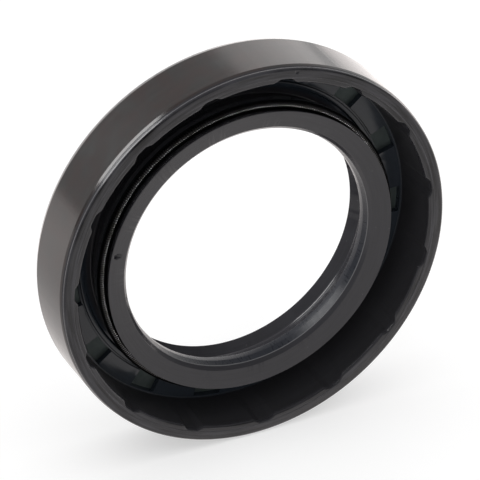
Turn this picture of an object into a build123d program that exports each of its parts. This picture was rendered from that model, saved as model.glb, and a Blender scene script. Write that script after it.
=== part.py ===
from build123d import *
import os

# Radial shaft seal, double-lip and rubber-covered, in its free state.
#
# One rubber body is moulded round a pressed steel case. It holds the housing
# bore with its outer cover and the shaft with its sealing lip, which a garter
# spring hoops from outside. A second, lighter lip at the back keeps dust out.
#
# Millimetres. The seal's axis is +Z, from the back face (air side, z = 0) to
# the front face (sprung side). One notch of the rim is centred on +X.

# ---- Catalogue size --------------------------------------------------------
shaft_diameter = 40.0        # the shaft that the sealing lip rides on
outer_diameter = 60.0        # the housing bore that the cover is pressed into
width = 10.0                 # back face to front face of the rim

# ---- Steel case: an L-section ring, pressed from sheet ----------------------
case_sheet = 1.0             # sheet thickness
case_bend_radius = 1.4       # inside the corner between floor and wall
case_edge_cover = 0.25       # rubber between the floor's inner edge and the channel

# ---- Rubber over the case ---------------------------------------------------
outer_cover = 0.9            # over the outside of the wall
rim_lining = 0.55            # over the inside of the wall, at the rim
rim_cap = 1.0                # over the wall's open end
back_cover = 0.4             # under the floor
wall_draft = 0.35            # how far the lining leans inwards down to its foot
wall_foot_radius = 0.12
front_taper = 0.2            # radial size of the lead-in that enters the housing
front_taper_length = 1.5
back_chamfer = 0.4           # radial size
back_chamfer_length = 1.0
rim_outer_round = 0.42
rim_inner_round = 0.4
rim_slope_width = 0.75       # the rim's face slopes down along its inner edge
rim_slope_drop = 0.1
back_round = 0.3

# ---- Floor: rubber pads with bare steel between them, inside a ring rib ------
pad_thickness = 0.85
pad_count = 15               # pads, recesses and rim notches alike
recess_angle = 9.0           # each recess, seen from the axis
recess_share = 0.865         # of the pads' radial length, from their inner end
recess_corner_radius = 0.4
rib_place = 0.231            # rib's inner side, on the way from membrane to rim
rib_width = 0.65
rib_chamfer = 0.12
slit_width = 0.24            # between the rib and the pads
slit_depth = 0.5

# ---- Rim notches: flutes as deep as the lining, that run out down the wall ----
notch_floor_angle = 3.2      # flat bottom, seen from the axis
notch_ramp_angle = 2.3       # sloping flank on each side
notch_foot_height = 0.7      # over the pads, where the flute has run out

# ---- Sealing lip -------------------------------------------------------------
lip_interference = 1.2       # free lip radius below shaft radius
land_length = 0.9            # cylindrical land that meets the shaft
land_depth = 2.15            # top of the land below the head's outer edge
throat_depth = 1.2           # edge where the mouth's slope steepens
throat_opening = 0.35        # radius of that edge over the land
mouth_opening = 0.82         # radius of the face's inner edge over the land
mouth_round = 0.2
face_dish = 0.65             # the head's face slopes down to its inner edge
head_thickness = 3.55        # land to the head's outer edge
head_drop = 1.75             # head's outer edge below the rim's front face
head_undercut = 0.3          # how far the head narrows down to the spring

# ---- Garter spring -----------------------------------------------------------
coil_diameter = 1.55
spring_depth = 2.13          # coil's centre below the head's outer edge
spring_offset = 0.1          # coil's centre outside the head's outer edge
groove_clearance = 0.03
groove_lip_reach = 0.6       # lower lip of the groove, beyond the head's edge
groove_lip_height = 0.6      # coil's centre down to the corner of that lip
groove_lip_thickness = 0.7

# ---- Flex membrane and dust lip ----------------------------------------------
waist_inset = 0.45           # membrane's outer side within the head's outer edge
waist_height = 0.6           # under the groove's lower lip
channel_depth = 0.6          # ring channel inside the rib, below the pads
channel_slope = 0.15         # how far the rib leans back towards the channel
soft_round = 0.3             # rounding of the membrane's bends
dust_lip_interference = 0.3  # dust lip's radius below shaft radius
dust_lip_thickness = 0.4     # at its tip
dust_lip_bevel = 0.25        # height of the tip over the back face
valley_opening = 1.24        # radius of the valley over the dust lip
valley_height = 1.82
valley_radius = 0.35
back_groove_height = 0.95    # ring groove behind the membrane
back_groove_width = 1.7
back_groove_taper = 0.6
back_groove_lip_taper = 0.75


# ---- Radii and heights that follow from them ----------------------------------
outer_radius = outer_diameter / 2
shaft_radius = shaft_diameter / 2
case_outer_radius = outer_radius - outer_cover
case_wall_radius = case_outer_radius - case_sheet
case_floor_top = back_cover + case_sheet
case_top = width - rim_cap
pad_top = case_floor_top + pad_thickness
rim_radius = case_wall_radius - rim_lining
wall_foot = rim_radius - wall_draft

land_radius = shaft_radius - lip_interference
dust_lip_radius = shaft_radius - dust_lip_interference
head_radius = land_radius + head_thickness
head_top = width - head_drop
land_top = head_top - land_depth
coil_radius = coil_diameter / 2
spring_radius = head_radius + spring_offset
spring_height = head_top - spring_depth
groove_lip_radius = head_radius + groove_lip_reach
groove_lip_top = spring_height - groove_lip_height
groove_lip_bottom = groove_lip_top - groove_lip_thickness
waist_radius = head_radius - waist_inset
floor_start = waist_radius + soft_round
rib_inner = floor_start + rib_place * (wall_foot - floor_start)
rib_outer = rib_inner + rib_width
pad_inner = rib_outer + slit_width
pad_length = wall_foot - pad_inner
recess_length = recess_share * pad_length
case_floor_edge = rib_inner + case_edge_cover
back_groove_inner = dust_lip_radius + dust_lip_thickness


def ring(section):
    """Turn a closed section of (radius, height, corner radius) about the axis."""
    corners = [(radius, 0, height) for radius, height, _ in section]
    rounds = [corner for _, _, corner in section]
    outline = FilletPolyline(*corners, radius=rounds, close=True)
    return revolve(make_face(outline), Axis.Z)


def steel_case():
    """Floor and wall of the case, bent from one sheet."""
    wall_and_floor = [
        (case_floor_edge, back_cover, 0),
        (case_outer_radius, back_cover, case_bend_radius + case_sheet),
        (case_outer_radius, case_top, 0),
        (case_wall_radius, case_top, 0),
        (case_wall_radius, case_floor_top, case_bend_radius),
        (case_floor_edge, case_floor_top, 0),
    ]
    return ring(wall_and_floor)


def cover_section():
    """Back face, outer cover, rim and the wall's lining, from the axis outwards."""
    return [
        (back_groove_inner + back_groove_width + back_groove_taper, 0, back_round),
        (outer_radius - back_chamfer, 0, back_round),
        (outer_radius, back_chamfer_length, back_round),
        (outer_radius, width - front_taper_length, 0),
        (outer_radius - front_taper, width, rim_outer_round),
        (rim_radius + rim_slope_width, width, 0),
        (rim_radius, width - rim_slope_drop, rim_inner_round),
        (wall_foot, pad_top, min(wall_foot_radius, 0.9 * pad_length)),
    ]


def floor_section():
    """Pads, slit, rib and channel, from the wall's foot inwards."""
    slit_bottom = pad_top - slit_depth
    channel_bottom = pad_top - channel_depth
    return [
        (pad_inner, pad_top, 0),
        (pad_inner, slit_bottom, 0),
        (rib_outer, slit_bottom, 0),
        (rib_outer, pad_top - rib_chamfer, 0),
        (rib_outer - rib_chamfer, pad_top, 0),
        (rib_inner + rib_chamfer, pad_top, 0),
        (rib_inner, pad_top - rib_chamfer, 0),
        (rib_inner - channel_slope, channel_bottom, 0),
        (waist_radius, channel_bottom, soft_round),
    ]


def lip_section():
    """Membrane, head and sealing lip, up the outside and down the bore."""
    undercut_height = spring_height + coil_radius / 2
    return [
        (waist_radius, groove_lip_bottom - waist_height, soft_round),
        (groove_lip_radius, groove_lip_bottom, 0),
        (groove_lip_radius, groove_lip_top, 0),
        (head_radius - head_undercut, undercut_height, 0),
        (head_radius, head_top, 0),
        (land_radius + mouth_opening, head_top - face_dish, mouth_round),
        (land_radius + throat_opening, head_top - throat_depth, 0),
        (land_radius, land_top, 0),
        (land_radius, land_top - land_length, 0),
    ]


def dust_lip_section():
    """Valley, dust lip and the groove behind the membrane."""
    groove_edge = back_groove_inner + back_groove_lip_taper
    return [
        (dust_lip_radius + valley_opening, valley_height, valley_radius),
        (dust_lip_radius, dust_lip_bevel, 0),
        (back_groove_inner, 0, 0),
        (groove_edge, back_groove_height, soft_round),
        (back_groove_inner + back_groove_width, back_groove_height, soft_round),
    ]


def spring_torus(radius):
    """Ring that the garter spring's coil sweeps, or the groove round it."""
    circle = Plane.XZ * Pos(spring_radius, spring_height) * Circle(radius)
    return revolve(circle, Axis.Z)


def at(radius, angle):
    """Point in plan at a radius and an angle from +X."""
    return Vector(radius, 0).rotate(Axis.Z, angle)


def recess():
    """Pocket between two pads, down to the case's floor."""
    start = -recess_angle / 2
    inner = CenterArc((0, 0), pad_inner, start, recess_angle)
    outer = CenterArc((0, 0), pad_inner + recess_length, start, recess_angle)
    sides = [Line(inner @ 0, outer @ 0), Line(inner @ 1, outer @ 1)]
    plan = make_face([inner, outer, *sides])
    outer_corners = plan.vertices().sort_by_distance((0, 0))[2:]
    plan = fillet(outer_corners, min(recess_corner_radius, 0.4 * recess_length))
    return Pos(0, 0, case_floor_top) * extrude(plan, width)


def rim_notch():
    """Flute with a flat bottom and sloping flanks, leaning until it runs out."""
    half_floor = notch_floor_angle / 2
    bottom = CenterArc((0, 0), case_wall_radius, -half_floor, notch_floor_angle)
    ramp = at(rim_radius, half_floor + notch_ramp_angle) - bottom @ 1
    left = bottom @ 1 + ramp * 2  # well past the lining, into the open
    right = Vector(left.X, -left.Y)
    sides = Polyline(bottom @ 0, right, left, bottom @ 1)
    plan = make_face([bottom, *sides.edges()])
    wall_height = width - pad_top
    run_out = wall_foot + wall_draft * notch_foot_height / wall_height
    lean = Vector(case_wall_radius - run_out, 0, wall_height - notch_foot_height)
    flute = extrude(plan, wall_height, dir=-lean) + extrude(plan, width, dir=lean)
    return Pos(0, 0, width) * flute


def rubber_body(case):
    """The moulded body: a turned ring less its cuts and the case inside it."""
    body = ring(cover_section() + floor_section() + lip_section() + dust_lip_section())
    body -= spring_torus(coil_radius + groove_clearance)
    body -= PolarLocations(0, pad_count) * rim_notch()
    half_pitch = 180 / pad_count
    body -= PolarLocations(0, pad_count, half_pitch) * recess()
    return body - case


case = steel_case()
parts = {
    "rubber_body": rubber_body(case),
    "steel_case": case,
    "garter_spring": spring_torus(coil_radius),
}
os.makedirs("parts", exist_ok=True)
for node, shape in parts.items():
    export_step(shape, f"parts/{node}.step")
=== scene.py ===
# %% [markdown]
# # Radial shaft seal
# A rubber ring with a pressed steel case moulded inside it, a sprung sealing
# lip and a lighter dust lip. The exact solids come from the CAD frame, in
# metres, with the seal's axis on +Z, its back face at z = 0 and one notch of
# the rim on +X. The steel case is used as it is. The rubber and the spring are
# modelled again here, with the soft edges and the wound wire of the real ones.

from math import atan2, ceil, cos, degrees, hypot, pi, radians, sin, tan

import bmesh
import bpy
from mathutils import Matrix, Vector


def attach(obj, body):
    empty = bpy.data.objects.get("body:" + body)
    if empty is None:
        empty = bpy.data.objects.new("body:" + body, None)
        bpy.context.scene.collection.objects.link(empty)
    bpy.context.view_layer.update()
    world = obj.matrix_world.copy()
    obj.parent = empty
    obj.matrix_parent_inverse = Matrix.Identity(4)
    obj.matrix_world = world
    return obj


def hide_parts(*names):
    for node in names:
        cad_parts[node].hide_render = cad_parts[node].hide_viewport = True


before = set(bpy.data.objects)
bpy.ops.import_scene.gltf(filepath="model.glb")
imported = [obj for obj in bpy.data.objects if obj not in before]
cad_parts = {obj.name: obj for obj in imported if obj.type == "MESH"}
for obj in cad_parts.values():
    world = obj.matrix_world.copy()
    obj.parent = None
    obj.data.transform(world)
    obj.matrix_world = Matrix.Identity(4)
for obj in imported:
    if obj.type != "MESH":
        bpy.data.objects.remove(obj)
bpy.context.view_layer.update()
MM = 0.001
print("CAD nodes:", sorted(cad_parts))

# %% [markdown]
# ## Camera
# A long lens, far away, keeps the seal's circles near true ellipses. The seal
# stands on its outer cover, so upwards in the view is a radius of the seal, not
# its axis. The camera is therefore given by its place and two directions in
# the seal's own frame.

# %% Camera
lens_mm = 337.5
camera_place = Vector((150.35, 384.94, 491.84)) * MM
look = Vector((-0.23537, -0.60244, -0.76267)).normalized()
right = Vector((0.49164, -0.75071, 0.44127)).normalized()
up = right.cross(look)

bpy.ops.object.camera_add()
camera = bpy.context.object
camera.name = "camera"
camera.data.lens = lens_mm
camera.data.clip_start = 0.01
camera.data.clip_end = 20
turn = Matrix((right, up, -look)).transposed().to_4x4()
camera.matrix_world = Matrix.Translation(camera_place) @ turn
bpy.context.scene.camera = camera
bpy.context.scene.view_settings.view_transform = "Standard"
print("camera is", round(camera_place.length / MM), "mm from the seal's back face")

# %% [markdown]
# ## Helpers for modelling by hand
# Every piece starts as a primitive and is shaped in edit mode. Each operator
# acts on what is selected, so one helper starts a piece with nothing else
# selected, and one picks vertices by their place. The others go in and out of
# edit mode, apply modifiers and count triangles.

# %% Helpers


def start(primitive, name, **size):
    """Adds a primitive with nothing else selected and returns it."""
    bpy.ops.object.select_all(action="DESELECT")
    primitive(**size)
    piece = bpy.context.object
    piece.name = name
    piece.data.name = name
    return piece


def pick(piece, wanted):
    """In edit mode, selects the vertices whose place in mm passes the test."""
    mesh = bmesh.from_edit_mesh(piece.data)
    for part in (*mesh.faces, *mesh.edges, *mesh.verts):
        part.select_set(False)
    chosen = [vertex for vertex in mesh.verts if wanted(vertex.co / MM)]
    for vertex in chosen:
        vertex.select_set(True)
    mesh.select_flush(True)
    bmesh.update_edit_mesh(piece.data)
    return len(chosen)


def edit(piece):
    """Goes into edit mode with all of the piece selected."""
    bpy.context.view_layer.objects.active = piece
    bpy.ops.object.mode_set(mode="EDIT")
    bpy.ops.mesh.select_mode(type="VERT")
    bpy.ops.mesh.select_all(action="SELECT")


def leave_edit():
    """Back to object mode."""
    bpy.ops.object.mode_set(mode="OBJECT")


def apply_modifiers(piece):
    """Makes the modifiers' result the piece's own mesh."""
    bpy.context.view_layer.objects.active = piece
    for modifier in list(piece.modifiers):
        bpy.ops.object.modifier_apply(modifier=modifier.name)


def triangles(piece):
    """Number of triangles that the piece's faces make."""
    return sum(len(face.vertices) - 2 for face in piece.data.polygons)


# %% [markdown]
# ## Rubber ring: the section
# The real ring comes out of one mould, so all its faces share one turned
# section. It is drawn as a line of corners in the XZ plane, each corner given
# as radius, height and rounding in mm. A turned solid would also do, but a
# drawn line lets every edge have its own softness before it is turned.

# %% Section of the rubber
coil_radius, coil_place = 0.775, (22.38, 6.32)
groove_clearance = 0.03
groove_radius = coil_radius + groove_clearance
cover_radius = 30.0
rim_top, rim_radius, wall_foot = 10.0, 27.55, 27.2
pad_top, slit_bottom, steel_top = 2.25, 1.75, 1.4
recess_inner, recess_outer = 24.24, 26.8
recess_wall = 0.04
rib_inner, rib_outer = 23.355, 24.0
channel_bottom, waist_radius = 1.65, 21.9
land_radius, dust_lip_radius = 18.8, 19.7


def lining(height):
    """Radius of the lining, which leans inwards from the rim to its foot."""
    return wall_foot + (rim_radius - wall_foot) * (height - pad_top) / (rim_top - pad_top)


# Back face, its chamfer, the cover, and the taper that leads into the housing.
back_and_cover = [
    (22.4, 0, 0.3), (29.6, 0, 0.3), (cover_radius, 1.0, 0.4),
    (cover_radius, 8.76, 0.08), (29.9, 9.22, 0.06),
]
# The raised line where the mould's halves met, the rim and its inner slope.
rim = [
    (29.8, 9.42, 0.05), (29.84, 9.58, 0.02), (29.78, rim_top, 0.4),
    (28.43, rim_top, 0.03), (28.38, 9.94, 0.03), (rim_radius, 9.9, 0.4),
]
# The lining has corners on its way down, for the notches to run out on.
lining_and_pads = [(lining(height), height, 0) for height in (8.6, 7.2, 5.8, 4.6, 3.7, 2.9)]
lining_and_pads += [
    (wall_foot, pad_top, 0.06),
    (recess_outer + recess_wall, pad_top, 0), (recess_outer - recess_wall, pad_top, 0),
    (25.5, pad_top, 0), (recess_inner, pad_top, 0.06), (recess_inner, slit_bottom, 0),
]
# Ring rib, channel, flex membrane and the lower lip of the spring's groove.
rib_and_membrane = [
    (rib_outer, slit_bottom, 0), (rib_outer, pad_top, 0.13), (rib_inner, pad_top, 0.13),
    (23.2, channel_bottom, 0.1), (waist_radius, channel_bottom, 0.3),
    (waist_radius, 4.22, 0.3), (22.95, 4.82, 0.12),
]
# Face of the lip's head, its mouth, throat and land.
head = [
    (22.35, 8.25, 0.09), (19.62, 7.6, 0.2), (19.22, 7.14, 0.03), (19.1, 7.05, 0.04),
    (19.1, 6.95, 0.03), (18.83, 6.1, 0.1), (land_radius, 5.2, 0.1),
]
# Valley between the lips, the dust lip and the groove behind it.
valley_and_dust_lip = [
    (20.94, 1.82, 0.35), (dust_lip_radius, 0.25, 0.06), (20.1, 0, 0.06),
    (20.85, 0.95, 0.3), (21.8, 0.95, 0.3),
]


def spring_groove(first, last, steps):
    """Corners round the inside of the groove, from its lower to its upper edge."""
    around = [radians(first + (last - first) * k / steps) for k in range(steps + 1)]
    r, z = coil_place
    return [(r + groove_radius * cos(a), z + groove_radius * sin(a), 0) for a in around]


section = back_and_cover + rim + lining_and_pads + rib_and_membrane
section += spring_groove(first=-51.5, last=-245, steps=13) + head + valley_and_dust_lip

# Vertices closer than this, in mm, are at the same place. A rounding gets one
# segment for every so many degrees of its bend.
same_place = 1e-4
bend_per_segment = 18


def draw_section(name, corners):
    """Extrudes one vertex from corner to corner, closes the line and rounds it."""
    piece = start(bpy.ops.mesh.primitive_plane_add, name, size=MM)
    edit(piece)
    bpy.ops.mesh.merge(type="CENTER")
    points = [Vector((radius, 0, height)) * MM for radius, height, _ in corners]
    bpy.ops.transform.translate(value=points[0])
    for here, there in zip(points, points[1:]):
        bpy.ops.mesh.extrude_vertices_move(TRANSFORM_OT_translate={"value": there - here})
    ends = (points[0] / MM, points[-1] / MM)
    pick(piece, lambda p: min((p - end).length for end in ends) < same_place)
    bpy.ops.mesh.edge_face_add()
    for k, (point, (_, _, rounding)) in enumerate(zip(points, corners)):
        if not rounding:
            continue
        before, after = points[k - 1], points[(k + 1) % len(points)]
        bend = (point - before).angle(after - point)
        segments = max(2, ceil(degrees(bend) / bend_per_segment))
        pick(piece, lambda p: (p - point / MM).length < same_place)
        bpy.ops.mesh.bevel(offset=rounding * tan(bend / 2) * MM, offset_type="OFFSET",
                           segments=segments, affect="VERTICES")
    return piece


ring = draw_section("rubber_ring", section)
corners = [(v.co.x / MM, v.co.z / MM) for v in bmesh.from_edit_mesh(ring.data).verts]
print("section has", len(corners), "corners")

# %% [markdown]
# ## Rubber ring: one pitch of the floor and rim
# Fifteen notches and fifteen pockets repeat round the ring. One pitch, from
# the middle of a notch to the middle of the next, is spun from the section in
# uneven steps, with close ones where a wall of a notch or pocket will stand.

# %% One pitch
notch_count = 15
pitch = 360 / notch_count
recess_start, recess_end = 7.5, 16.5
recess_side = 0.06
half_pitch_stations = [0, 0.75, 1.45, 1.65, 1.95, 2.65, 3.35, 3.65, 3.9, 5.0, 6.2,
                       recess_start - recess_side, recess_start + recess_side, 9.0, 10.5, 12.0]
stations = half_pitch_stations + [pitch - a for a in half_pitch_stations[-2::-1]]
bpy.ops.mesh.select_all(action="SELECT")
for here, there in zip(stations, stations[1:]):
    bpy.ops.mesh.spin(steps=1, angle=radians(there - here), center=(0, 0, 0), axis=(0, 0, 1))


def angle_of(p):
    """Bearing of a point round the axis, in degrees from +X."""
    return abs(degrees(atan2(p.y, p.x)))


print("one pitch of", pitch, "degrees has", len(stations), "stations")


# %% [markdown]
# The notch is a flute down the lining: the lining's vertices near its middle
# are scaled outwards from the axis. A smooth weight over the stations gives it
# a flat bottom and two soft flanks, and it grows shallower towards its foot and
# over the rim's slope. The pocket is a drop of the pad's top between two pairs
# of close stations, to just under the bare steel of the case.

# %% Notch and pocket
notch_depth, notch_foot, notch_reach = 0.62, 2.95, 28.0
fade_over_slope = 0.62
flat_to, ramp_to = 1.45, 3.9
near_mm, near_degrees = 1e-3, 0.02


def flank(from_middle):
    """Share of the notch's depth at an angle from its middle."""
    reach = min(max((ramp_to - from_middle) / (ramp_to - flat_to), 0), 1)
    return reach * reach * (3 - 2 * reach)


def cut_at(radius, height):
    """Depth of the notch where the plain lining has a corner."""
    if height < notch_foot or not wall_foot < radius < notch_reach:
        return 0
    lean = (height - notch_foot) / (rim_top - notch_foot)
    return notch_depth * lean - fade_over_slope * max(radius - rim_radius, 0)


flute = [(radius, height) for radius, height in corners if cut_at(radius, height) > 0]
for station in stations:
    share = flank(min(station, pitch - station))
    if share == 0:
        continue
    for radius, height in flute:
        pick(ring, lambda p: abs(angle_of(p) - station) < near_degrees
             and abs(p.z - height) < near_mm and abs(hypot(p.x, p.y) - radius) < near_mm)
        scale = 1 + share * cut_at(radius, height) / radius
        bpy.ops.transform.resize(value=(scale, scale, 1), center_override=(0, 0, 0))
print("flute corners:", len(flute))

pad_edge, hair = 2.0, 0.01
under_steel = 0.05
drop = steel_top - under_steel - pad_top
pick(ring, lambda p: recess_start < angle_of(p) < recess_end and pad_edge < p.z < pad_top + hair
     and recess_inner - hair < hypot(p.x, p.y) < recess_outer)
bpy.ops.transform.translate(value=(0, 0, drop * MM))
print("pocket depth:", round(-drop, 2), "mm")

# %% [markdown]
# The pitch is copied round the axis with Spin's duplicates, and the copies are
# merged into one closed skin.

# %% Whole ring
bpy.ops.mesh.select_all(action="SELECT")
copies = notch_count - 1
joined_within = 0.002
turned = radians(copies * pitch)
bpy.ops.mesh.spin(steps=copies, dupli=True, angle=turned, center=(0, 0, 0), axis=(0, 0, 1))
bpy.ops.mesh.select_all(action="SELECT")
bpy.ops.mesh.remove_doubles(threshold=joined_within * MM)
bpy.ops.mesh.normals_make_consistent(inside=False)
leave_edit()
print("ring closed:", triangles(ring), "triangles")

# %% [markdown]
# ## Rubber ring: marks of use
# Real rubber is never quite whole: there is a small pit in the lip's face and
# a nick on the rim. A bump map would vanish in a side view, so both are made
# in the mesh. The flat faces round the place are divided finely, and the new
# vertices near it are pushed down in two steps.

# %% Marks
# Each mark's radius, bearing in degrees, height, size and depth.
marks = [(21.25, 110.2, 8.0, 0.42, 0.5), (29.25, 21.2, 10.0, 0.3, 0.15)]
same_level, smallest_width, nearest_bearing = 0.7, 0.4, 1.6
second_step = 0.55


def goes_round(face, radius, angle, height):
    """Whether a face is wide enough to hold the mark, and spans its place."""
    radii = [hypot(v.co.x, v.co.y) / MM for v in face.verts]
    beside = min(abs(degrees(atan2(v.co.y, v.co.x)) - angle) for v in face.verts)
    level = all(abs(v.co.z / MM - height) < same_level for v in face.verts)
    wide = max(radii) - min(radii) > smallest_width and min(radii) < radius < max(radii)
    return wide and level and beside < nearest_bearing


for radius, angle, height, size, depth in marks:
    place = Vector((radius * cos(radians(angle)), radius * sin(radians(angle)), height))
    edit(ring)
    pick(ring, lambda p: False)
    mesh = bmesh.from_edit_mesh(ring.data)
    for face in mesh.faces:
        if goes_round(face, radius, angle, height):
            face.select_set(True)
    bmesh.update_edit_mesh(ring.data)
    bpy.ops.mesh.subdivide(number_cuts=7)
    for reach in (size, second_step * size):
        lowered = pick(ring, lambda p: (p - place).xy.length < reach
                       and abs(p.z - place.z) < same_level)
        bpy.ops.transform.translate(value=(0, 0, -depth / 2 * MM))
    leave_edit()
    print("mark of", size, "mm:", lowered, "vertices at its bottom")

# %% [markdown]
# ## Rubber ring: soft edges
# A very small bevel softens the edges that the section left sharp, as moulded
# rubber always has them soft. The slivers that it leaves in tight corners are
# merged away. Smooth shading would then bulge the flat faces, so the normals
# are weighted by the size of the faces.

# %% Soft edges
softness = 0.05
sliver, no_length = 0.004, 0.002
soften = ring.modifiers.new("soft_edges", "BEVEL")
soften.width = softness * MM
soften.segments = 2
soften.limit_method = "ANGLE"
soften.angle_limit = radians(42)
apply_modifiers(ring)
edit(ring)
bpy.ops.mesh.remove_doubles(threshold=sliver * MM)
bpy.ops.mesh.dissolve_degenerate(threshold=no_length * MM)
leave_edit()
bpy.ops.object.shade_smooth_by_angle(angle=radians(50))
keep_flat = ring.modifiers.new("flat_faces_stay_flat", "WEIGHTED_NORMAL")
keep_flat.keep_sharp = True
apply_modifiers(ring)
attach(ring, "root")
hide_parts("rubber_body")
print("rubber ring:", triangles(ring), "triangles, box", [round(d / MM, 2) for d in ring.dimensions])

# %% [markdown]
# ## Garter spring
# The real spring is about four hundred turns of fine wire, closed to a ring. A
# straight coil is wound with Screw from a six-sided wire section, then bent
# into a ring with Simple Deform. Few sides are enough, as there are so many
# turns.

# %% Garter spring
turns = 398
wire_radius, wire_sides, steps_per_turn = 0.168, 6, 10
spring_length = 2 * pi * coil_place[0]
coil = start(bpy.ops.mesh.primitive_circle_add, "garter_coil", vertices=wire_sides,
             radius=wire_radius * MM, fill_type="NOTHING")
edit(coil)
bpy.ops.transform.rotate(value=radians(90), orient_axis="X", center_override=(0, 0, 0))
bpy.ops.transform.translate(value=(0, 0, (coil_radius - wire_radius) * MM))
leave_edit()
winding = coil.modifiers.new("winding", "SCREW")
winding.axis = "X"
winding.angle = radians(360)
winding.screw_offset = spring_length / turns * MM
winding.iterations = turns
winding.steps = steps_per_turn
winding.render_steps = steps_per_turn
apply_modifiers(coil)
edit(coil)
bpy.ops.mesh.select_all(action="DESELECT")
bpy.ops.mesh.select_non_manifold()
bpy.ops.mesh.edge_face_add()
leave_edit()
print("coil straight:", [round(d / MM, 3) for d in coil.dimensions], triangles(coil))
closing = coil.modifiers.new("closing", "SIMPLE_DEFORM")
closing.deform_method = "BEND"
closing.deform_axis = "Z"
closing.angle = radians(360)
apply_modifiers(coil)
low, high = Vector(coil.bound_box[0]), Vector(coil.bound_box[6])
to_axis = -(low.x + high.x) / 2, -(low.y + high.y) / 2, coil_place[1] * MM
edit(coil)
bpy.ops.transform.translate(value=to_axis)
bpy.ops.mesh.select_all(action="SELECT")
bpy.ops.mesh.normals_make_consistent(inside=False)
leave_edit()
bpy.ops.object.shade_smooth_by_angle(angle=radians(80))
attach(coil, "root")
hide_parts("garter_spring")
print("coil ring:", [round(d / MM, 3) for d in coil.dimensions], triangles(coil))

# %% [markdown]
# ## Floor
# The seal stands on its cover, on a white table. So upwards is a radius of the
# seal, and along is the way the camera looks, level with the table.

# %% Floor
upwards = Vector((0.8366, 0.5479, 0)).normalized()
along = (look - upwards * look.dot(upwards)).normalized()
hairline = 0.02
floor = start(bpy.ops.mesh.primitive_circle_add, "floor", vertices=64, radius=1.5, fill_type="NGON")
stand = upwards.to_track_quat("Z", "Y").to_matrix().to_4x4()
floor.matrix_world = Matrix.Translation(-upwards * (cover_radius + hairline) * MM) @ stand
print("table is", round(floor.matrix_world.translation.length / MM, 2), "mm from the axis")

# %% [markdown]
# ## Nodes
# Every finish, the table and the studio are made of nodes. One helper adds a
# node, sets or links its inputs by name or number, and returns its outputs.
# Five more stand for what is used again and again: a sum, a smooth step from
# one value to another, a noise, and a mixture of two colours or two shaders.

# %% Node helpers


def adder(tree):
    """Empties a node tree and returns the function that adds nodes to it."""
    tree.nodes.clear()

    def add(kind, inputs=None, **settings):
        node = tree.nodes.new("ShaderNode" + kind)
        for name, value in settings.items():
            setattr(node, name, value)
        for name, value in (inputs or {}).items():
            if isinstance(value, bpy.types.NodeSocket):
                tree.links.new(value, node.inputs[name])
            else:
                node.inputs[name].default_value = value
        return node.outputs

    return add


def calc(add, operation, first, second=0.0, third=0.0):
    """One sum with two or three terms."""
    return add("Math", {0: first, 1: second, 2: third}, operation=operation)[0]


def step(add, value, start, end, low=0.0, high=1.0):
    """Low below the start, high above the end, and smooth between them."""
    inputs = {"Value": value, "From Min": start, "From Max": end, "To Min": low, "To Max": high}
    return add("MapRange", inputs, interpolation_type="SMOOTHSTEP")["Result"]


def noise(add, place, scale, detail=2.0, roughness=0.5):
    """Soft random value from 0 to 1 at a place, finer with a larger scale."""
    inputs = {"Vector": place, "Scale": scale, "Detail": detail, "Roughness": roughness}
    return add("TexNoise", inputs)["Fac"]


def blended(add, amount, first, second):
    """Colour between two, each linked or given as (red, green, blue, 1)."""
    return add("Mix", {0: amount, 6: first, 7: second}, data_type="RGBA")[2]


def either(add, choice, first, second):
    """The first shader where the choice is 0 and the second where it is 1."""
    return add("MixShader", {0: choice, 1: first, 2: second})[0]


def new_material(name):
    """A material with an empty tree, and the function that adds nodes to it."""
    material = bpy.data.materials.new(name)
    material.use_nodes = True
    return material, adder(material.node_tree)


# %% [markdown]
# ## Table and studio
# The seal is lit as small products often are: on a white table, in a white
# room, with one large soft lamp high on the left. The rubber shows these
# things as reflections, so what it mirrors is given apart from what the
# camera sees. The camera sees plain white, with the soft shadow on the table.

# %% Table
matt_white, own_glow = 0.58, 0.52
mirrored_white, mirrored_behind, mirrored_beside = 0.3, 1.05, 0.45

table, add = new_material("white_table")
path = add("LightPath")
from_below = add("NewGeometry")["Backfacing"]
matt = add("BsdfDiffuse", {"Color": (matt_white, matt_white, matt_white, 1)})[0]
seen = add("AddShader", {0: matt, 1: add("Emission", {"Strength": own_glow})[0]})[0]
on_table = add("TexCoord")["Object"]
depth, aside = (
    add("VectorMath", {0: on_table, 1: stand.to_3x3().inverted() @ axis}, operation="DOT_PRODUCT")["Value"]
    for axis in (along, right)
)
# In reflections the table glows brighter behind the seal and to one side: a painted glow standing in for
# light on the table.
behind = step(add, depth, -0.05, 0.06, high=mirrored_behind)
beside = step(add, aside, -0.08, 0.0, high=mirrored_beside)
faint = add("BsdfDiffuse", {"Color": (mirrored_white, mirrored_white, mirrored_white, 1)})[0]
painted_reflected_glow = add("Emission", {"Color": (1, 0.94, 0.92, 1), "Strength": calc(add, "ADD", behind, beside)})[0]
mirrored = add("AddShader", {0: faint, 1: painted_reflected_glow})[0]
shown = either(add, path["Is Glossy Ray"], seen, mirrored)
shown = either(add, from_below, shown, add("BsdfTransparent")[0])
add("OutputMaterial", {"Surface": shown})
floor.data.materials.append(table)
print("table finished with", len(table.node_tree.nodes), "nodes")

# %% [markdown]
# The room is three things at once. The rubber mirrors a room that is bright low
# behind the seal, half as bright overhead and dim in front. Matt faces are lit
# from above, and the camera sees white.

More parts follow.
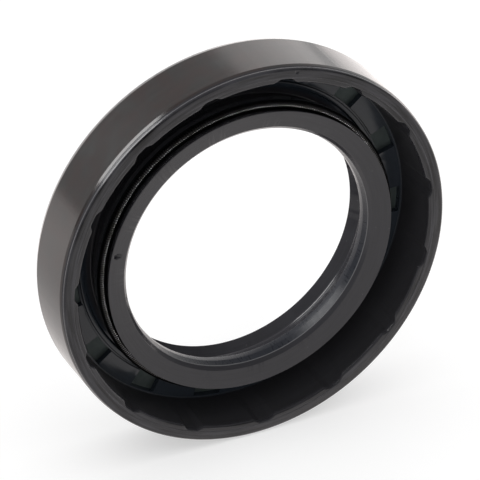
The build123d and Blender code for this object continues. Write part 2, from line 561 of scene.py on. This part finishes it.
# %% Studio
world = bpy.data.worlds.new("studio")
bpy.context.scene.world = world
world.use_nodes = True
add = adder(world.node_tree)
path = add("LightPath")
direction = add("TexCoord")["Generated"]
to_top = add("VectorMath", {0: direction, 1: upwards}, operation="DOT_PRODUCT")["Value"]
to_back = add("VectorMath", {0: direction, 1: along}, operation="DOT_PRODUCT")["Value"]
from_top = step(add, to_top, sin(radians(15)), sin(radians(45)), low=1.0, high=0.5)
from_back = step(add, to_back, cos(radians(85)), cos(radians(30)), low=0.18, high=1.0)
mirrored = add("Background", {"Strength": calc(add, "MULTIPLY", from_top, from_back)})[0]
ambient = add("Background", {"Strength": step(add, to_top, 0.2, 0.9, low=0.15, high=1.3)})[0]
white = add("Background", {"Strength": 1.0})[0]
for background in (mirrored, ambient, white):
    background.node.inputs["Color"].default_value = (1, 1, 1, 1)
shown = either(add, path["Is Glossy Ray"], ambient, mirrored)
shown = either(add, path["Is Camera Ray"], shown, white)
add("OutputWorld", {"Surface": shown})
print("studio made of", len(world.node_tree.nodes), "nodes")

# %% [markdown]
# ## Lamps
# Four square soft lamps, each given by its height over the table and its
# bearing round the seal. The key lamp makes the long highlight on the rim's
# taper. A wide one in front fills the inside, and a faint warm one stands
# behind. Key and fill leave the table out, so that its shadow stays soft and
# close to the seal. The last one shines only on the spring, where it puts one
# glint on every turn of the wire.

# %% Lamps


def softbox(name, elevation, bearing, size, brightness):
    """A square lamp. Its bearing is 0 straight behind the seal and + to the right."""
    e, b = radians(elevation), radians(bearing)
    place = upwards * sin(e) + (along * cos(b) + right * sin(b)) * cos(e)
    bpy.ops.object.light_add(type="AREA")
    lamp = bpy.context.object
    lamp.name = name
    lamp.data.shape = "SQUARE"
    lamp.data.size = size
    lamp.data.energy = brightness * pi * size * size
    lamp.visible_camera = False
    lamp.matrix_world = Matrix.Translation(place) @ place.to_track_quat("Z", "Y").to_matrix().to_4x4()
    print(name, round(lamp.data.energy, 2), "W")
    return lamp


key = softbox("key_lamp", elevation=41, bearing=-85, size=0.66, brightness=8)
fill = softbox("fill_lamp", elevation=20, bearing=-165, size=1.0, brightness=1.5)
fill.visible_glossy = False
back = softbox("back_lamp", elevation=18, bearing=1, size=0.6, brightness=0.9)
back.data.color = (1, 0.93, 0.91)
glint = softbox("spring_lamp", elevation=3, bearing=152, size=0.15, brightness=40)

all_but_table = bpy.data.collections.new("not_lit_by_key_and_fill")
all_but_table.objects.link(floor)
all_but_table.collection_objects[0].light_linking.link_state = "EXCLUDE"
key.light_linking.receiver_collection = all_but_table
fill.light_linking.receiver_collection = all_but_table
only_spring = bpy.data.collections.new("lit_by_spring_lamp")
only_spring.objects.link(coil)
glint.light_linking.receiver_collection = only_spring

# %% [markdown]
# ## Rubber
# Nitrile rubber is black and smooth from a polished mould, with faint marks
# that run round the seal where the mould was turned. All its nodes read the
# place on the object in millimetres, as a radius and a height, so the marks
# follow the turned form.

# %% Places in a material


def places(add):
    """Point on the object in mm, its direction from the axis, radius and height."""
    point = add("VectorMath", {0: add("TexCoord")["Object"], "Scale": 1 / MM}, operation="SCALE")[0]
    flat = add("VectorMath", {0: point, 1: (1, 1, 0)}, operation="MULTIPLY")[0]
    outwards = add("VectorMath", {0: flat}, operation="NORMALIZE")[0]
    radius = add("VectorMath", {0: flat}, operation="LENGTH")["Value"]
    return point, outwards, radius, add("SeparateXYZ", {0: point})["Z"]


def drawn_out(add, outwards, height, around, across):
    """Place for a noise whose marks are stretched round the axis, or along it."""
    stretched = add("VectorMath", {0: outwards, "Scale": around}, operation="SCALE")[0]
    across = add("CombineXYZ", {"Z": calc(add, "MULTIPLY", height, across)})[0]
    return add("VectorMath", {0: stretched, 1: across}, operation="ADD")[0]


def tinted(add, amount, first, second):
    """Colour between two, by an amount from 0 to 1."""
    return blended(add, amount, (*first, 1), (*second, 1))


def within(add, place, from_none, from_full, to_full, to_none):
    """1 between the two inner values, 0 outside the outer ones."""
    rise = step(add, place, from_none, from_full)
    return calc(add, "MULTIPLY", rise, step(add, place, to_full, to_none, low=1.0, high=0.0))


def layered(add, value, *layers):
    """Adds to a value each layer's strength times its amount."""
    for layer, amount in layers:
        value = calc(add, "MULTIPLY_ADD", layer, amount, value)
    return value


# %% [markdown]
# The rubber is not the same all over. The outside cover is browner, the pads
# are bluish, the lining is duller and darker with painted shade, and the rim's
# face has the clearest marks of turning. A fine grain, smudges and a few specks
# of dust are laid over all of it. Three edges, the line where the mould's halves
# met among them, are painted paler: partly rubbed wear, partly painted highlight.

# %% Zones of the rubber
# Radius and height of each pale edge, the width of its pale line, and how pale it is.
# The paleness is partly rubbed wear, partly painted highlight.
worn_and_highlit_edges = [(29.84, 9.58, 0.05, 0.8), (28.42, 9.98, 0.08, 0.3), (19.1, 7.08, 0.12, 1.0)]
rim_face = (9.7, 9.95)
cover_skin = (29.85, 29.95)


def edge_wear_and_highlight(add, radius, height):
    """How pale each place is, from its distance to the edges: wear and painted highlight."""
    rubbed_and_highlit = 0.0
    for edge_radius, edge_height, width, amount in worn_and_highlit_edges:
        off = calc(add, "SUBTRACT", radius, edge_radius), calc(add, "SUBTRACT", height, edge_height)
        away = calc(add, "POWER", off[0], 2.0), calc(add, "POWER", off[1], 2.0)
        away = calc(add, "SQRT", calc(add, "ADD", *away))
        rubbed_and_highlit = calc(add, "MAXIMUM", rubbed_and_highlit, step(add, away, 0.0, width, low=amount, high=0.0))
    return rubbed_and_highlit


def wall_lining(add, radius, height):
    """1 on the lining, inside the wall and below the rim."""
    between = within(add, radius, 26.9, 27.1, 28.0, 28.3)
    return calc(add, "MULTIPLY", between, step(add, height, 9.3, 9.7, low=1.0, high=0.0))


def floor_pads(add, radius, height):
    """1 on the pads and in the pockets, between the membrane and the wall."""
    level = within(add, height, 1.2, 1.3, 2.3, 2.5)
    return calc(add, "MULTIPLY", level, within(add, radius, 22.5, 23.0, 28.0, 29.0))


# The edges painted paler are partly worn, partly painted highlight.
print("worn edges:", len(worn_and_highlit_edges))


# %% Rubber
dust_share, dust_size = 0.25, 0.012
black = 0.016
brown, faint_brown, bluish = (1.3, 0.94, 0.9), (1.05, 0.99, 0.98), (0.8, 1.0, 1.3)
no_tint = (1, 1, 1, 1)
relief_height = 0.012


def rubber(name, specular, gloss, uneven, tint, streaks_around, streaks_across, relief):
    """Moulded rubber with its marks round the axis or along it."""
    material, add = new_material(name)
    point, outwards, radius, height = places(add)
    both = calc(add, "MULTIPLY_ADD", height, 1.3, radius)
    streaks = drawn_out(add, outwards, both, streaks_around, streaks_across)
    marks = noise(add, streaks, scale=1.0, detail=3.0, roughness=0.6)
    smudge = noise(add, point, scale=0.35, detail=3.0, roughness=0.6)
    grain = noise(add, point, scale=9.0, detail=2.0, roughness=0.6)
    speck = add("TexVoronoi", {"Vector": point, "Scale": 0.5})["Distance"]
    speck = calc(add, "MULTIPLY_ADD", smudge, -0.08, speck)
    dust = step(add, speck, 0.0, dust_size, low=1.0, high=0.0)
    # Dust is real; the pale lines along the edges are partly wear, partly painted highlight.
    dust_wear_and_highlight = calc(add, "MAXIMUM", calc(add, "MULTIPLY", dust, dust_share), edge_wear_and_highlight(add, radius, height))
    cover = step(add, radius, *cover_skin)
    face = step(add, height, *rim_face)
    lining = wall_lining(add, radius, height)
    mark_strength = step(add, height, *rim_face, low=0.012, high=0.08)
    # The lining is darker by painted shade, for the cavity between rim and head.
    shade = layered(add, black, (marks, mark_strength), (face, -0.038), (cover, -0.008),
                    (lining, -0.006), (dust_wear_and_highlight, 0.08))
    warm = tinted(add, step(add, smudge, 0.3, 0.7), brown, faint_brown)
    cool = tinted(add, floor_pads(add, radius, height), tint, bluish)
    hue = blended(add, dust_wear_and_highlight, blended(add, cover, cool, warm), no_tint)
    colour = add("VectorMath", {0: hue, "Scale": shade}, operation="SCALE")[0]
    rough = layered(add, gloss - 0.06, (smudge, 0.12), (lining, 0.35), (marks, uneven), (dust_wear_and_highlight, 0.3))
    marks_relief = calc(add, "MULTIPLY", step(add, height, *rim_face, low=0.08, high=1.0), relief)
    bumps = layered(add, calc(add, "MULTIPLY", grain, 0.15), (marks, marks_relief))
    bump = add("Bump", {"Height": bumps, "Distance": relief_height * MM, "Strength": 1.0})[0]
    shader = add("BsdfPrincipled", {
        "Base Color": colour, "Roughness": rough, "Normal": bump,
        "Specular IOR Level": specular, "IOR": 1.5,
    })[0]
    add("OutputMaterial", {"Surface": shader})
    return material


ring.data.materials.append(rubber(
    "rubber", specular=0.5, gloss=0.13, uneven=0.06, tint=(1.0, 0.98, 1.12),
    streaks_around=4.0, streaks_across=3.0, relief=4.0,
))
print("rubber finished with", len(ring.data.materials[0].node_tree.nodes), "nodes")

# %% [markdown]
# The bore is duller than the rest, and its marks run along the axis, the way
# the seal was pulled off its core. Its colour is also bluer, and darker by
# painted shade.

# %% Rubber of the bore
bore_radius, bore_from, bore_to = 19.15, 4.0, 7.1
# The bore's tint is bluer and darker; the darkness is painted shade.
ring.data.materials.append(rubber(
    "rubber_bore", specular=0.22, gloss=0.16, uneven=0.28, tint=(0.55, 0.6, 0.78),
    streaks_around=60.0, streaks_across=0.6, relief=3.0,
))
for face in ring.data.polygons:
    middle = face.center / MM
    if hypot(middle.x, middle.y) < bore_radius and bore_from < middle.z < bore_to:
        face.material_index = 1
print("bore faces:", sum(face.material_index for face in ring.data.polygons))

# %% [markdown]
# ## Steel of the case
# The case is phosphated before the rubber is moulded on it, which leaves a dull
# grey-green skin with a fine crystal grain. It shows only at the bottom of the
# pockets. The CAD solid is right as it is, so only its material is changed: a
# half-metallic grey in soft patches, with the grain as a bump.

# %% Steel
dark_skin, pale_skin = (0.035, 0.048, 0.048), (0.07, 0.085, 0.082)
crystal_height = 0.02
steel, add = new_material("case_steel")
point = places(add)[0]
grain = noise(add, point, scale=6.0, detail=4.0, roughness=0.7)
bump = add("Bump", {"Height": grain, "Distance": crystal_height * MM, "Strength": 1.0})[0]
colour = tinted(add, noise(add, point, scale=1.2, detail=3.0), dark_skin, pale_skin)
shader = add("BsdfPrincipled", {"Base Color": colour, "Roughness": 0.5, "Metallic": 0.5, "Normal": bump})[0]
add("OutputMaterial", {"Surface": shader})
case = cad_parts["steel_case"].data
case.materials.clear()
case.materials.append(steel)
print("case finished with", len(steel.node_tree.nodes), "nodes")

# %% [markdown]
# ## Spring wire
# The spring is hard-drawn steel wire, dark with oil and bright where the oil
# has run off. A slow noise mixes the two, in colour and in gloss.

# %% Spring wire
bare_wire, oiled_wire = (0.13, 0.13, 0.135), (0.08, 0.078, 0.074)
wire, add = new_material("spring_steel")
point = places(add)[0]
oil = noise(add, point, scale=0.8, detail=3.0, roughness=0.6)
colour = tinted(add, step(add, oil, 0.4, 0.6), bare_wire, oiled_wire)
gloss = step(add, oil, 0.3, 0.7, low=0.12, high=0.25)
shader = add("BsdfPrincipled", {"Base Color": colour, "Roughness": gloss, "Metallic": 1.0})[0]
add("OutputMaterial", {"Surface": shader})
coil.data.materials.append(wire)
print("wire finished with", len(wire.node_tree.nodes), "nodes")

# %% [markdown]
# ## Finish
# The rubber and the spring of the CAD stay hidden behind the new pieces.

# %% Finish
for node in ("rubber_body", "garter_spring"):
    print(node, "hidden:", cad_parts[node].hide_render)
